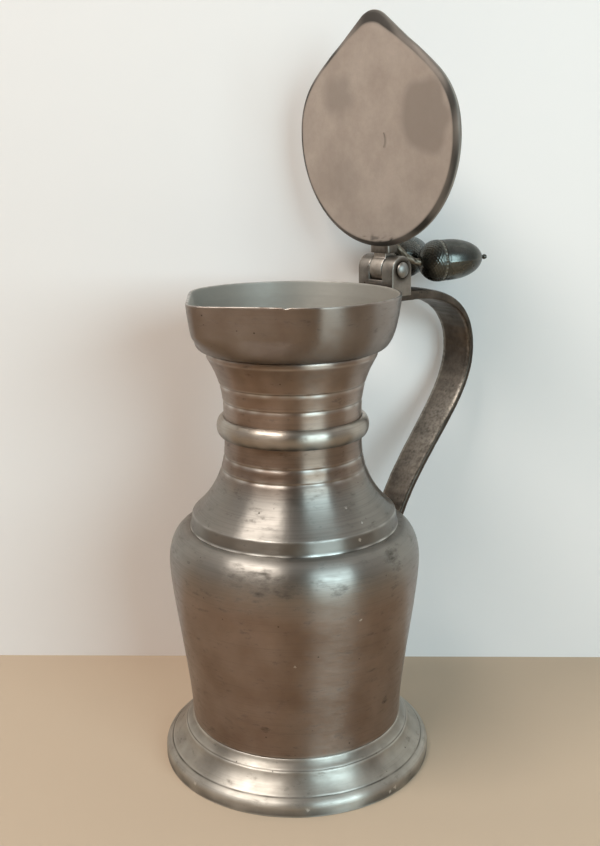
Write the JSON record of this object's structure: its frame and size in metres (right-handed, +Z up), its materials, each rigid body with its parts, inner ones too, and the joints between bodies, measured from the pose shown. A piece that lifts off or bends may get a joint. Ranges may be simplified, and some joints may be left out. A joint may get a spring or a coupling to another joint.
{
  "type": "lidded wine jug",
  "caption": "Turned grey-metal wine jug with spreading foot, belly, ringed neck, beaked mouth, strap handle and a hinged drop-shaped lid lifted by an acorn thumbpiece.",
  "frame": {"origin": "bottom centre of the whole jug's box, on the surface it stands on, with its lid open", "axes": "+Z up along the jug's own axis, +X towards the handle, +Y along the hinge pin; the pouring beak points to -X"},
  "size_m": [0.1712, 0.121, 0.3261],
  "materials": {
    "foot_ring": "turned and lightly polished grey casting metal",
    "base_disc": "plain sheet of the same grey metal, dull",
    "body_drum": "turned, warm brown-grey patina",
    "shoulder_cone": "turned, lightly polished",
    "neck_bead": "turned, lightly polished",
    "upper_neck": "turned, warm brown-grey patina",
    "mouth_collar": "turned outside, dull pale grey inside",
    "handle": "as cast, dark grey with worn bright edges",
    "hinge_pin": "worn bright",
    "lid_plate": "matt warm grey, stained",
    "lid_knuckle": "warm grey, worn",
    "acorn_twigs": "dark grey",
    "acorn_left": "dark, polished by handling",
    "acorn_right": "dark, polished by handling"
  },
  "bodies": {
    "jug": {"foot_ring": "foot_ring", "base_disc": "base_disc", "body_drum": "body_drum", "shoulder_cone": "shoulder_cone", "neck_bead": "neck_bead", "upper_neck": "upper_neck", "mouth_collar": "mouth_collar", "handle": "handle", "hinge_pin": "hinge_pin"},
    "lid": {"lid_plate": "lid_plate", "lid_knuckle": "lid_knuckle", "acorn_twigs": "acorn_twigs", "acorn_left": "acorn_left", "acorn_right": "acorn_right"}
  },
  "joints": [
    {"name": "lid_hinge", "type": "hinge", "parent": "jug", "child": "lid", "pos_m": [0.03135, 0, 0.2162], "axis": [0, -1, 0], "range_deg": [0, 87.5]}
  ]
}
